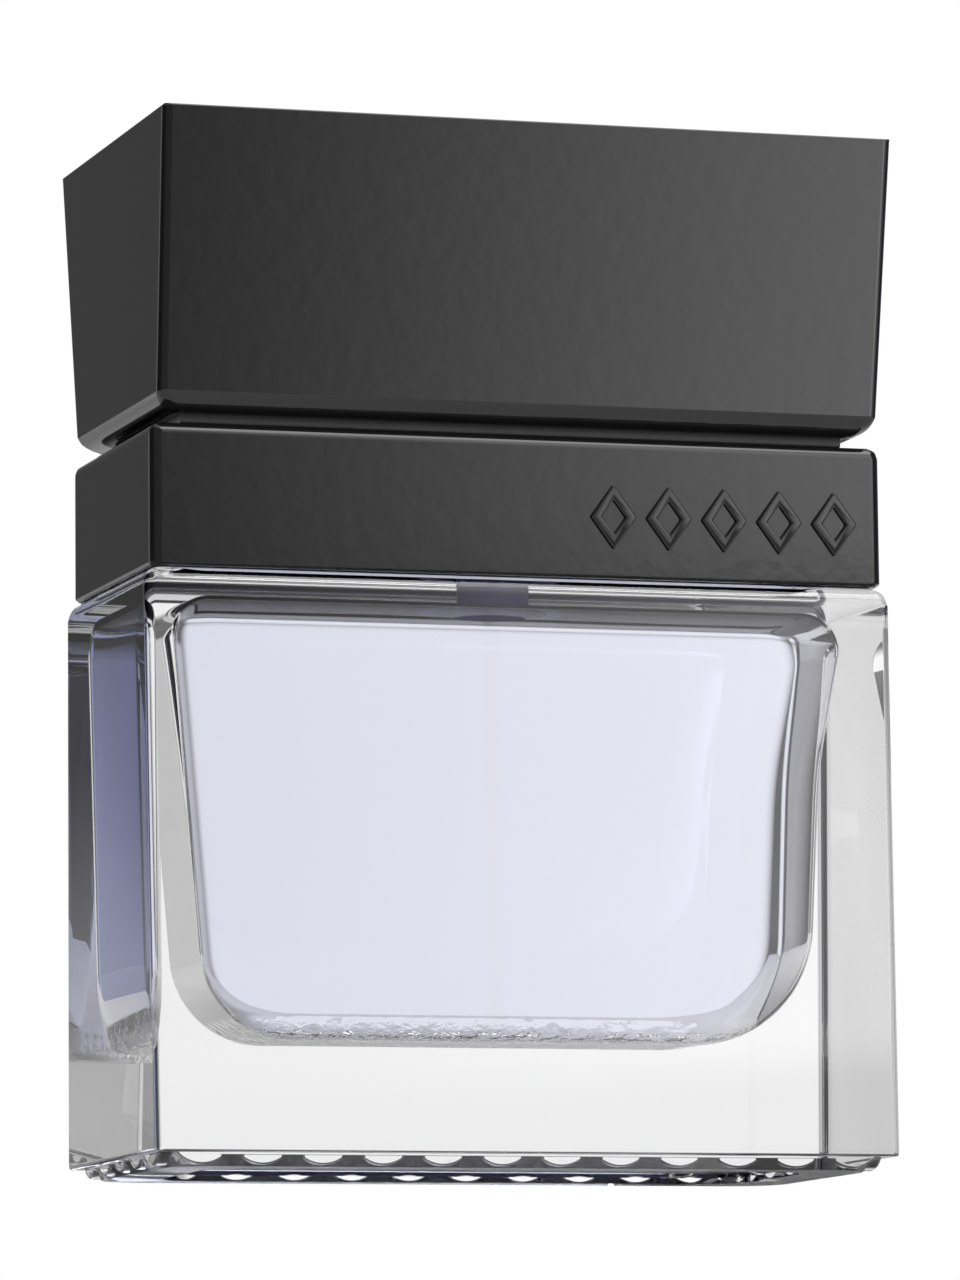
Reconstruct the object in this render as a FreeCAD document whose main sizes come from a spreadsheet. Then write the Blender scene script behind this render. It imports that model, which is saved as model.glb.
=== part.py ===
import FreeCAD, Part
import os
import Sketcher

# Aftershave bottle: a thick glass block with a spray pump crimped on its neck, a rectangular
# collar over its shoulder and a flared block cap that lifts off. Millimetres, +Z up, X is the
# width, the front faces -Y. The origin is the middle of the plane the bottle stands on.

DIMENSIONS = {
    # glass block
    "heel_height": 1.5,
    "heel_edge_round": 0.5,
    "plinth_inset": 1.0,
    "plinth_corner_round": 7.0,
    "plinth_chamfer": 1.3,
    "glass_bottom_width": 88.65,
    "glass_bottom_depth": 41.42,
    "glass_top_width": 89.65,
    "glass_top_depth": 37.0,
    "glass_top_level": 68.0,
    "glass_side_round": 1.1,
    "glass_top_round": 2.3,
    "push_up_width": 72.0,
    "push_up_depth": 28.0,
    "push_up_height": 0.7,
    "push_up_round": 6.0,
    # scallops that carry the walls down over the sloped heel
    "scallop_width": 5.9,
    "scallop_bottom_level": 0.15,
    "scallop_top_level": 2.2,
    "scallop_reach": 2.6,
    "scallop_setback": 1.05,
    "scallop_round": 0.4,
    "scallop_pitch": 7.05,
    "scallop_count_long": 12,
    "scallop_count_short": 5,
    # cavity of the glass, which the aftershave fills
    "cavity_bottom_level": 14.5,
    "cavity_top_level": 65.2,
    "cavity_left_bottom": 36.6,
    "cavity_left_top": 40.7,
    "cavity_right_bottom": 35.6,
    "cavity_right_waist": 37.5,
    "cavity_waist_level": 47.0,
    "cavity_right_top": 41.3,
    "cavity_depth": 27.6,
    "cavity_left_corner": 10.5,
    "cavity_right_corner": 14.5,
    "cavity_waist_round": 60.0,
    "cavity_top_corner": 4.5,
    "cavity_edge_round": 4.0,
    # neck with its crimp bead
    "neck_radius": 6.7,
    "neck_bore_radius": 4.3,
    "bead_radius": 7.5,
    "bead_under_level": 76.2,
    "bead_full_level": 77.0,
    "bead_chamfer": 0.6,
    "neck_top_level": 81.0,
    "fill_level": 66.5,
    # collar, its pad and its ornament
    "collar_width": 88.0,
    "collar_depth": 36.52,
    "collar_top_level": 84.4,
    "collar_wall": 2.0,
    "collar_roof": 2.2,
    "collar_side_round": 1.2,
    "collar_top_round": 1.4,
    "collar_bottom_chamfer": 0.35,
    "collar_hole_radius": 9.3,
    "pad_thickness": 1.2,
    "pad_gap": 0.3,
    "pad_hole_radius": 8.6,
    "ornament_count": 5,
    "ornament_pitch": 6.75,
    "ornament_first_x": 11.0,
    "ornament_level": 75.1,
    "ornament_width": 5.6,
    "ornament_height": 7.6,
    "ornament_inner_width": 2.9,
    "ornament_inner_height": 3.94,
    "ornament_relief": 0.45,
    # pump
    "gasket_radius": 7.3,
    "gasket_thickness": 0.9,
    "flange_radius": 6.7,
    "flange_thickness": 1.0,
    "housing_radius": 3.9,
    "housing_bore_radius": 2.9,
    "housing_bore_level": 70.2,
    "valve_chamber_radius": 1.1,
    "valve_seat_level": 68.6,
    "valve_seat_rise": 0.6,
    "inlet_radius": 0.5,
    "housing_step_level": 68.6,
    "nipple_radius": 1.75,
    "nipple_level": 67.6,
    "nipple_bottom_level": 63.8,
    "tube_radius": 1.1,
    "tube_bore_radius": 0.75,
    "tube_top_level": 68.0,
    "tube_bottom_level": 15.5,
    "ball_radius": 0.8,
    "ball_level": 69.25,
    "spring_radius": 2.3,
    "spring_wire_radius": 0.2,
    "spring_pitch": 1.25,
    "spring_bottom_level": 70.45,
    "spring_length": 5.08,
    "piston_radius": 2.87,
    "piston_bottom_level": 75.75,
    "piston_top_level": 79.4,
    "piston_waist_radius": 2.3,
    "piston_lip": 0.8,
    "piston_lip_slope": 0.4,
    "stem_radius": 1.5,
    "stem_bore_radius": 0.7,
    "stem_bottom_level": 76.2,
    "stem_top_level": 92.5,
    "seal_bottom_level": 79.6,
    "seal_thickness": 1.0,
    "seal_bore_radius": 1.56,
    "bush_radius": 5.0,
    "bush_plug_radius": 2.88,
    "bush_bore_radius": 1.56,
    "bush_top_level": 83.9,
    "ferrule_wall": 0.45,
    "ferrule_hole_radius": 2.4,
    "ferrule_turret_radius": 5.05,
    "ferrule_skirt_radius": 7.6,
    "ferrule_crimp_radius": 6.85,
    "ferrule_crimp_level": 75.6,
    "ferrule_crimp_shoulder": 0.5,
    "ferrule_crimp_turn": 0.2,
    "cover_bore_radius": 8.12,
    "cover_radius": 8.95,
    "cover_flange_radius": 11.4,
    "cover_flange_thickness": 0.8,
    "cover_bottom_level": 76.4,
    "cover_top_level": 88.9,
    "cover_lip_radius": 7.6,
    "cover_lip_thickness": 0.5,
    "cover_chamfer": 0.35,
    # push button
    "button_radius": 6.5,
    "button_skirt_radius": 5.8,
    "button_bottom_level": 88.0,
    "button_top_level": 99.3,
    "button_web_level": 91.7,
    "socket_radius": 1.54,
    "socket_boss_radius": 2.6,
    "socket_bottom_level": 89.0,
    "socket_top_level": 92.8,
    "channel_radius": 0.5,
    "duct_radius": 0.4,
    "nozzle_level": 95.3,
    "nozzle_radius": 2.2,
    "nozzle_pocket_depth": 2.6,
    "nozzle_hole_radius": 0.2,
    "nozzle_post_radius": 0.9,
    "nozzle_plate_thickness": 0.5,
    "overshell_bore_radius": 6.53,
    "overshell_radius": 7.0,
    "overshell_bottom_level": 88.2,
    "overshell_top_level": 99.8,
    "overshell_top_round": 0.6,
    "overshell_window_radius": 2.45,
    "overshell_window_reach": 5.0,
    # cap
    "cap_edge_level": 86.7,
    "cap_bottom_width": 86.74,
    "cap_bottom_depth": 38.29,
    "cap_top_level": 119.9,
    "cap_top_width": 87.78,
    "cap_top_depth": 48.36,
    "cap_lip_level": 85.6,
    "cap_lip_inset": 2.3,
    "cap_side_round": 1.1,
    "cap_edge_round": 1.2,
    "cap_wall": 3.3,
    "cap_roof": 2.6,
    "cap_top_sharp_round": 0.25,
    "plate_gap": 0.12,
    "plate_bottom_level": 84.45,
    "plate_top_level": 87.6,
    "plate_hole_radius": 12.0,
    "plate_foot_round": 0.4,
    "sleeve_bore_radius": 9.0,
    "sleeve_radius": 10.2,
    "sleeve_flange_radius": 15.0,
    "sleeve_flange_thickness": 1.2,
    "sleeve_bottom_level": 85.5,
    "sleeve_top_level": 110.0,
    "sleeve_roof": 1.0,
}

XY = "XY_Plane"
XZ = "XZ_Plane"
TINY = 0.02  # edges and levels closer than this are taken as the same
OVERRUN = 1.0  # how far cutting and joined solids run past each other
LEAST_CUT = 1e-6  # a pocket that takes away less than this volume missed its body
STEEP = 5  # an edge this many times higher than wide counts as upright

document = FreeCAD.newDocument("aftershave_bottle")
sheet = document.addObject("Spreadsheet::Sheet", "Dims")
pieces = []


def fill_sheet():
    """Write every driving dimension into its own named cell."""
    for row, (alias, number) in enumerate(DIMENSIONS.items(), start=1):
        cell = f"B{row}"
        sheet.set(f"A{row}", alias)
        sheet.set(cell, str(number))
        sheet.setAlias(cell, alias)
    document.recompute()


class Size:
    """A length that knows its number and the sheet expression that gives it."""

    def __init__(self, number, expression):
        self.number = float(number)
        self.expression = expression

    def joined(self, other, number, sign):
        return Size(number, f"({self.expression} {sign} {as_size(other).expression})")

    def __add__(self, other):
        return self.joined(other, self.number + as_size(other).number, "+")

    def __sub__(self, other):
        return self.joined(other, self.number - as_size(other).number, "-")

    def __mul__(self, other):
        return self.joined(other, self.number * as_size(other).number, "*")

    def __truediv__(self, other):
        return self.joined(other, self.number / as_size(other).number, "/")

    def __neg__(self):
        return Size(-self.number, f"(-1 * {self.expression})")


def as_size(value):
    """Take a plain number as a Size of its own."""
    if isinstance(value, Size):
        return value
    return Size(value, repr(float(value)))


def size(alias):
    """The driving dimension of that name."""
    return Size(sheet.get(alias), f"Dims.{alias}")


def bind(target, **sizes):
    """Set properties of an object and tie each to the sheet."""
    for name, value in sizes.items():
        value = as_size(value)
        setattr(target, name, value.number)
        target.setExpression(name, value.expression)


def new_body(label):
    """An empty body with its own label."""
    body = document.addObject("PartDesign::Body", label)
    body.Label = label
    return body


def add_sketch(body, name, role, offset=None):
    """A sketch on one of the body's own origin planes, moved along its normal by offset."""
    sketch = body.newObject("Sketcher::SketchObject", name)
    plane = next(item for item in body.Origin.OriginFeatures if item.Role == role)
    sketch.AttachmentSupport = [(plane, "")]
    sketch.MapMode = "FlatFace"
    if offset is not None:
        sketch.AttachmentOffset = FreeCAD.Placement(FreeCAD.Vector(0, 0, offset.number), FreeCAD.Rotation())
        sketch.setExpression("AttachmentOffset.Base.z", offset.expression)
    return sketch


def pin_point(sketch, edge, end, across, up):
    """Hold one end of a sketch edge at its distances from the sketch's origin."""
    for kind, axis, value in (("DistanceX", -2, as_size(across)), ("DistanceY", -1, as_size(up))):
        if value.number == 0:
            sketch.addConstraint(Sketcher.Constraint("PointOnObject", edge, end, axis))
        else:
            held = Sketcher.Constraint(kind, -1, 1, edge, end, value.number)
            index = sketch.addConstraint(held)
            sketch.setExpression(f"Constraints[{index}]", value.expression)


def add_outline(sketch, corners):
    """A closed outline of straight lines through corners given as (across, up) sizes."""
    first = sketch.GeometryCount
    total = len(corners)
    places = [FreeCAD.Vector(as_size(x).number, as_size(y).number, 0) for x, y in corners]
    for index in range(total):
        line = Part.LineSegment(places[index], places[(index + 1) % total])
        sketch.addGeometry(line, False)
    for index in range(total):
        follower = first + (index + 1) % total
        sketch.addConstraint(Sketcher.Constraint("Coincident", first + index, 2, follower, 1))
    for index, (across, up) in enumerate(corners):
        pin_point(sketch, first + index, 1, across, up)


def add_circle(sketch, radius, across=0, up=0):
    """A circle of a bound radius with its centre held."""
    centre = FreeCAD.Vector(as_size(across).number, as_size(up).number, 0)
    edge = sketch.addGeometry(Part.Circle(centre, FreeCAD.Vector(0, 0, 1), radius.number), False)
    pin_point(sketch, edge, 3, across, up)
    index = sketch.addConstraint(Sketcher.Constraint("Radius", edge, radius.number))
    sketch.setExpression(f"Constraints[{index}]", radius.expression)


def add_rectangle(sketch, width, height):
    """A rectangle centred on the sketch's origin."""
    half_width = width / 2
    half_height = height / 2
    corners = [
        (-half_width, -half_height),
        (half_width, -half_height),
        (half_width, half_height),
        (-half_width, half_height),
    ]
    add_outline(sketch, corners)


def rectangle_at(body, name, level, width, depth):
    """A horizontal rectangle at a level, centred on the Z axis."""
    sketch = add_sketch(body, name, XY, level)
    add_rectangle(sketch, width, depth)
    return sketch


def loft(body, name, lower, upper):
    """A straight-sided loft between two sketches."""
    feature = body.newObject("PartDesign::AdditiveLoft", name)
    feature.Profile = lower
    feature.Sections = [upper]
    feature.Ruled = True
    return feature


def spin(body, name, outline):
    """Turn an outline of (radius, level) corners around the Z axis."""
    sketch = add_sketch(body, f"{name}_outline", XZ)
    add_outline(sketch, outline)
    feature = body.newObject("PartDesign::Revolution", name)
    feature.Profile = sketch
    feature.ReferenceAxis = (sketch, ["V_Axis"])
    feature.Angle = 360
    return feature


def pad(body, name, sketch, length, midplane=False, reverse=False):
    """Raise a sketch into a solid."""
    feature = body.newObject("PartDesign::Pad", name)
    feature.Profile = sketch
    feature.Midplane = midplane
    feature.Reversed = reverse
    bind(feature, Length=length)
    return feature


def pocket(body, name, sketch, length, midplane=False, reverse=False):
    """Cut a sketch out of the body, and make sure that it removes something."""
    document.recompute()
    before = body.Shape.Volume
    feature = body.newObject("PartDesign::Pocket", name)
    feature.Profile = sketch
    feature.Midplane = midplane
    feature.Reversed = reverse
    bind(feature, Length=length)
    document.recompute()
    if body.Shape.Volume > before - LEAST_CUT:
        raise RuntimeError(f"{body.Label}: {name} cuts nothing")
    return feature


def edge_names(shape, chosen):
    """The names of a shape's edges for which chosen(box of the edge) is true."""
    return [f"Edge{number}" for number, edge in enumerate(shape.Edges, start=1) if chosen(edge.BoundBox)]


def round_edges(body, name, radius, chosen, kind="PartDesign::Fillet"):
    """Round or chamfer the edges of a body's last feature that chosen picks."""
    document.recompute()
    last = body.Tip
    feature = body.newObject(kind, name)
    feature.Base = (last, edge_names(last.Shape, chosen))
    if kind == "PartDesign::Fillet":
        bind(feature, Radius=radius)
    else:
        bind(feature, Size=radius)
    return feature


def round_all(source, name, radius_of):
    """Round the edges of a solid with a radius that depends on where each edge is."""
    document.recompute()
    rounds = []
    for number, edge in enumerate(source.Shape.Edges, start=1):
        radius = radius_of(edge.BoundBox)
        if radius:
            rounds.append((number, radius.number, radius.number))
    feature = document.addObject("Part::Fillet", name)
    feature.Base = source
    feature.Edges = rounds
    return feature


def keep(piece, label):
    """Name a finished sub-part and put it on the list of files."""
    piece.Label = label
    pieces.append(piece)


def keep_spun(label, outline):
    """A sub-part that is one outline turned around the Z axis."""
    body = new_body(label)
    spin(body, "Turned", outline)
    keep(body, label)
    return body


def upright(box):
    """Whether an edge runs mostly upwards."""
    return box.ZLength > STEEP * max(box.XLength, box.YLength)


def near(value, target):
    """Whether a level read from a shape is the wanted one."""
    return abs(value - target.number) < TINY


def cavity_block(name):
    """The rounded U-shaped space inside the glass, flared a little at its upper right."""
    body = new_body(name)
    sketch = add_sketch(body, f"{name}_front", XZ)
    bottom = size("cavity_bottom_level")
    top = size("cavity_top_level")
    waist = size("cavity_waist_level")
    add_outline(sketch, [
        (-size("cavity_left_bottom"), bottom),
        (size("cavity_right_bottom"), bottom),
        (size("cavity_right_waist"), waist),
        (size("cavity_right_top"), top),
        (-size("cavity_left_top"), top),
    ])
    pad(body, "Through", sketch, size("cavity_depth"), midplane=True)

    def radius_of(box):
        if box.YLength < TINY:
            return size("cavity_edge_round")
        if near(box.ZMax, top):
            return size("cavity_top_corner")
        if near(box.ZMax, waist):
            return size("cavity_waist_round")
        return size("cavity_left_corner") if box.XMax < 0 else size("cavity_right_corner")

    return round_all(body, f"{name}_rounded", radius_of)


def scallop(name):
    """One tongue of glass in front of the heel: flat above, curved below, with a soft front rim."""
    body = new_body(name)
    half = size("scallop_width") / 2
    low = size("scallop_bottom_level")
    side = size("heel_height")
    high = size("scallop_top_level")
    sketch = add_sketch(body, f"{name}_outline", XZ)
    corners = [(half, side), (half, high), (-half, high), (-half, side)]
    places = [FreeCAD.Vector(across.number, up.number, 0) for across, up in corners]
    for start, end in zip(places, places[1:]):
        sketch.addGeometry(Part.LineSegment(start, end), False)
    lowest = FreeCAD.Vector(0, low.number, 0)
    arc = sketch.addGeometry(Part.Arc(places[-1], lowest, places[0]), False)
    last_line = len(places) - 2
    for line in range(last_line):
        sketch.addConstraint(Sketcher.Constraint("Coincident", line, 2, line + 1, 1))
    sketch.addConstraint(Sketcher.Constraint("Coincident", last_line, 2, arc, 1))
    sketch.addConstraint(Sketcher.Constraint("Coincident", arc, 2, 0, 1))
    for line, (across, up) in enumerate(corners[:-1]):
        pin_point(sketch, line, 1, across, up)
    pin_point(sketch, last_line, 2, *corners[-1])
    rise = side - low
    radius = (half * half + rise * rise) / (rise * 2)
    index = sketch.addConstraint(Sketcher.Constraint("Radius", arc, radius.number))
    sketch.setExpression(f"Constraints[{index}]", radius.expression)
    pad(body, "Tongue", sketch, size("scallop_reach"))
    front = -size("scallop_reach")

    def on_front_rim(box):
        return near(box.YMax, front) and box.ZMin < high.number - TINY

    round_edges(body, "Rim", size("scallop_round"), on_front_rim)
    return body


def scallop_row(count, half_depth, turn):
    """Copies of a scallop along one side of the heel, which the turn about Z carries to its place."""
    source = scallop(f"scallop_{turn}")
    document.recompute()
    about = FreeCAD.Rotation(FreeCAD.Vector(0, 0, 1), turn)
    front = half_depth - size("scallop_setback") - size("scallop_reach")
    row = []
    for index in range(count):
        step = (index - (count - 1) / 2) * sheet.get("scallop_pitch")
        tongue = document.addObject("Part::Feature", f"scallop_{turn}_{index + 1}")
        tongue.Shape = source.Shape
        place = about.multVec(FreeCAD.Vector(step, -front.number, 0))
        tongue.Placement = FreeCAD.Placement(place, about)
        row.append(tongue)
    return row


def make_plinth(width, depth, heel):
    """The shallow foot under the walls, set back from them, with wide corners."""
    body = new_body("plinth")
    inset = size("plinth_inset") * 2
    pad(body, "Foot", rectangle_at(body, "Foot_outline", None, width - inset, depth - inset), heel + OVERRUN)
    round_edges(body, "Corners", size("plinth_corner_round"), upright)
    round_edges(body, "Slope", size("plinth_chamfer"), lambda box: box.ZMax < TINY, "PartDesign::Chamfer")
    return body


def make_glass():
    """The glass block with its scalloped heel, neck and cavity."""
    body = new_body("glass_block")
    heel = size("heel_height")
    top = size("glass_top_level")
    width = size("glass_bottom_width")
    depth = size("glass_bottom_depth")
    bottom = rectangle_at(body, "Bottom", heel, width, depth)
    shoulder = rectangle_at(body, "Shoulder", top, size("glass_top_width"), size("glass_top_depth"))
    loft(body, "Walls", shoulder, bottom)

    def block_radius(box):
        if near(box.ZMin, top):
            return size("glass_top_round")
        if near(box.ZMax, heel):
            return size("heel_edge_round")
        return size("glass_side_round")

    block = round_all(body, "glass_block_rounded", block_radius)
    plinth = make_plinth(width, depth, heel)

    neck = new_body("neck")
    under = size("bead_under_level")
    bead = size("bead_radius")
    rim = size("neck_top_level")
    chamfer = size("bead_chamfer")
    spin(neck, "Neck", [
        (0, top - OVERRUN),
        (size("neck_radius"), top - OVERRUN),
        (size("neck_radius"), under),
        (bead, size("bead_full_level")),
        (bead, rim - chamfer),
        (bead - chamfer, rim),
        (0, rim),
    ])

    bore = new_body("bore")
    spin(bore, "Bore", [
        (0, size("cavity_top_level") - OVERRUN),
        (size("neck_bore_radius"), size("cavity_top_level") - OVERRUN),
        (size("neck_bore_radius"), rim + OVERRUN),
        (0, rim + OVERRUN),
    ])

    push_up = new_body("push_up")
    hollow_outline = rectangle_at(push_up, "Hollow_outline", as_size(-OVERRUN),
                                  size("push_up_width"), size("push_up_depth"))
    pad(push_up, "Hollow", hollow_outline, size("push_up_height") + OVERRUN)
    hollow = round_edges(push_up, "Hollow_round", size("push_up_round"), upright)

    tongues = []
    for turn in (0, 180):
        tongues += scallop_row(DIMENSIONS["scallop_count_long"], size("glass_bottom_depth") / 2, turn)
    for turn in (90, 270):
        tongues += scallop_row(DIMENSIONS["scallop_count_short"], size("glass_bottom_width") / 2, turn)
    solid = document.addObject("Part::MultiFuse", "glass_solid")
    solid.Shapes = [block, plinth, neck] + tongues
    hollows = document.addObject("Part::MultiFuse", "glass_hollows")
    hollows.Shapes = [cavity_block("glass_cavity"), bore]
    opened = document.addObject("Part::Cut", "glass_opened")
    opened.Base = solid
    opened.Tool = hollows
    glass = document.addObject("Part::Cut", "glass_bottle")
    glass.Base = opened
    glass.Tool = push_up
    document.recompute()
    if hollow.Shape.Volume <= 0 or glass.Shape.Volume >= opened.Shape.Volume:
        raise RuntimeError("the base hollow cuts nothing")
    keep(glass, "glass_bottle")


def make_liquid():
    """The aftershave: the cavity and the foot of the neck bore, less the dipped pump."""
    throat = new_body("liquid_throat")
    spin(throat, "Throat", [
        (0, size("cavity_top_level") - OVERRUN),
        (size("neck_bore_radius"), size("cavity_top_level") - OVERRUN),
        (size("neck_bore_radius"), size("fill_level")),
        (0, size("fill_level")),
    ])
    full = document.addObject("Part::MultiFuse", "liquid_full")
    full.Shapes = [cavity_block("liquid_block"), throat]
    dipped = new_body("dipped_pump")
    spin(dipped, "Dipped", [
        (0, size("tube_bottom_level")),
        (size("tube_radius"), size("tube_bottom_level")),
        (size("tube_radius"), size("nipple_bottom_level")),
        (size("nipple_radius"), size("nipple_bottom_level")),
        (size("nipple_radius"), size("fill_level") + OVERRUN),
        (0, size("fill_level") + OVERRUN),
    ])
    liquid = document.addObject("Part::Cut", "aftershave_liquid")
    liquid.Base = full
    liquid.Tool = dipped
    keep(liquid, "aftershave_liquid")


def make_collar():
    """The collar: a box open downwards whose roof has a hole for the pump."""
    body = new_body("shoulder_collar")
    bottom = size("glass_top_level")
    top = size("collar_top_level")
    width = size("collar_width")
    depth = size("collar_depth")
    wall = size("collar_wall")
    pad(body, "Band", rectangle_at(body, "Band_outline", bottom, width, depth), top - bottom)
    round_edges(body, "Sides", size("collar_side_round"), upright)
    round_edges(body, "Top", size("collar_top_round"), lambda box: near(box.ZMin, top))
    round_edges(body, "Foot", size("collar_bottom_chamfer"), lambda box: near(box.ZMax, bottom),
                "PartDesign::Chamfer")
    inside = rectangle_at(body, "Inside_outline", bottom, width - wall * 2, depth - wall * 2)
    pocket(body, "Inside", inside, top - bottom - size("collar_roof"), reverse=True)
    hole = add_sketch(body, "Hole_outline", XY, top)
    add_circle(hole, size("collar_hole_radius"))
    pocket(body, "Hole", hole, size("collar_roof") * 2)
    keep(body, "shoulder_collar")


def make_pad():
    """The black pad bonded between the glass shoulder and the collar."""
    body = new_body("shoulder_pad")
    margin = (size("collar_wall") + size("pad_gap")) * 2
    outline = rectangle_at(body, "Pad_outline", size("glass_top_level"),
                           size("collar_width") - margin, size("collar_depth") - margin)
    add_circle(outline, size("pad_hole_radius"))
    pad(body, "Pad", outline, size("pad_thickness"))
    keep(body, "shoulder_pad")


def make_ornament():
    """A row of raised lozenge frames on the collar's front face."""
    body = new_body("collar_ornament")
    body.AllowCompound = True
    sketch = add_sketch(body, "Lozenges", XZ, size("collar_depth") / 2)
    level = size("ornament_level")
    for index in range(DIMENSIONS["ornament_count"]):
        centre = size("ornament_first_x") + size("ornament_pitch") * index
        for wide, tall in (("ornament_width", "ornament_height"),
                           ("ornament_inner_width", "ornament_inner_height")):
            half_wide = size(wide) / 2
            half_tall = size(tall) / 2
            add_outline(sketch, [
                (centre - half_wide, level),
                (centre, level - half_tall),
                (centre + half_wide, level),
                (centre, level + half_tall),
            ])
    pad(body, "Relief", sketch, size("ornament_relief"))
    keep(body, "collar_ornament")


def make_pump():
    """The turned pieces of the pump, from the neck gasket up to the outer cover."""
    rim = size("neck_top_level")
    seat = rim + size("gasket_thickness")
    flange_top = seat + size("flange_thickness")
    keep_spun("neck_gasket", [
        (size("neck_bore_radius"), rim),
        (size("gasket_radius"), rim),
        (size("gasket_radius"), seat),
        (size("neck_bore_radius"), seat),
    ])
    socket_top = size("tube_top_level")
    keep_spun("pump_housing", [
        (size("tube_radius"), size("nipple_bottom_level")),
        (size("nipple_radius"), size("nipple_bottom_level")),
        (size("nipple_radius"), size("nipple_level")),
        (size("housing_radius"), size("housing_step_level")),
        (size("housing_radius"), seat),
        (size("flange_radius"), seat),
        (size("flange_radius"), flange_top),
        (size("housing_bore_radius"), flange_top),
        (size("housing_bore_radius"), size("housing_bore_level")),
        (size("valve_chamber_radius"), size("housing_bore_level")),
        (size("valve_chamber_radius"), size("valve_seat_level") + size("valve_seat_rise")),
        (size("inlet_radius"), size("valve_seat_level")),
        (size("inlet_radius"), socket_top),
        (size("tube_radius"), socket_top),
    ])
    keep_spun("dip_tube", [
        (size("tube_bore_radius"), size("tube_bottom_level")),
        (size("tube_radius"), size("tube_bottom_level")),
        (size("tube_radius"), socket_top),
        (size("tube_bore_radius"), socket_top),
    ])
    ball = document.addObject("Part::Sphere", "inlet_ball")
    bind(ball, Radius=size("ball_radius"))
    ball.setExpression("Placement.Base.z", "Dims.ball_level")
    keep(ball, "inlet_ball")

    spring = new_body("return_spring")
    wire = add_sketch(spring, "Wire", XZ)
    add_circle(wire, size("spring_wire_radius"), size("spring_radius"), size("spring_bottom_level"))
    coil = spring.newObject("PartDesign::AdditiveHelix", "Coil")
    coil.Profile = wire
    coil.ReferenceAxis = (wire, ["V_Axis"])
    coil.Mode = "pitch-height-angle"
    bind(coil, Pitch=size("spring_pitch"), Height=size("spring_length"))
    keep(spring, "return_spring")

    low = size("piston_bottom_level")
    high = size("piston_top_level")
    lip = size("piston_lip")
    slope = size("piston_lip_slope")
    keep_spun("piston", [
        (size("stem_radius"), low),
        (size("piston_radius"), low),
        (size("piston_radius"), low + lip),
        (size("piston_waist_radius"), low + lip + slope),
        (size("piston_waist_radius"), high - lip - slope),
        (size("piston_radius"), high - lip),
        (size("piston_radius"), high),
        (size("stem_radius"), high),
    ])
    keep_spun("pump_stem", [
        (size("stem_bore_radius"), size("stem_bottom_level")),
        (size("stem_radius"), size("stem_bottom_level")),
        (size("stem_radius"), size("stem_top_level")),
        (size("stem_bore_radius"), size("stem_top_level")),
    ])
    seal = size("seal_bottom_level")
    seal_top = seal + size("seal_thickness")
    keep_spun("stem_seal", [
        (size("seal_bore_radius"), seal),
        (size("bush_plug_radius"), seal),
        (size("bush_plug_radius"), seal_top),
        (size("seal_bore_radius"), seal_top),
    ])
    bush_top = size("bush_top_level")
    keep_spun("turret_bush", [
        (size("bush_bore_radius"), seal_top),
        (size("bush_plug_radius"), seal_top),
        (size("bush_plug_radius"), flange_top),
        (size("bush_radius"), flange_top),
        (size("bush_radius"), bush_top),
        (size("bush_bore_radius"), bush_top),
    ])
    sheet_metal = size("ferrule_wall")
    skirt = size("ferrule_skirt_radius")
    turret = size("ferrule_turret_radius")
    crimp = size("ferrule_crimp_level")
    under = size("bead_under_level")
    keep_spun("crimp_ferrule", [
        (size("ferrule_hole_radius"), bush_top),
        (turret, bush_top),
        (turret, flange_top),
        (skirt, flange_top),
        (skirt, under + size("ferrule_crimp_shoulder")),
        (size("ferrule_crimp_radius"), under - size("ferrule_crimp_turn")),
        (size("ferrule_crimp_radius"), crimp),
        (skirt + sheet_metal, under + size("ferrule_crimp_turn")),
        (skirt + sheet_metal, flange_top + sheet_metal),
        (turret + sheet_metal, flange_top + sheet_metal),
        (turret + sheet_metal, bush_top + sheet_metal),
        (size("ferrule_hole_radius"), bush_top + sheet_metal),
    ])
    collar_top = size("collar_top_level")
    cover_top = size("cover_top_level")
    keep_spun("ferrule_cover", [
        (size("cover_bore_radius"), size("cover_bottom_level")),
        (size("cover_radius"), size("cover_bottom_level")),
        (size("cover_radius"), collar_top),
        (size("cover_flange_radius"), collar_top),
        (size("cover_flange_radius"), collar_top + size("cover_flange_thickness") / 2),
        (size("cover_flange_radius") - size("cover_chamfer"), collar_top + size("cover_flange_thickness")),
        (size("cover_radius"), collar_top + size("cover_flange_thickness")),
        (size("cover_radius"), cover_top - size("cover_chamfer")),
        (size("cover_radius") - size("cover_chamfer"), cover_top),
        (size("cover_lip_radius"), cover_top),
        (size("cover_lip_radius"), cover_top - size("cover_lip_thickness")),
        (size("cover_bore_radius"), cover_top - size("cover_lip_thickness")),
    ])


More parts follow.
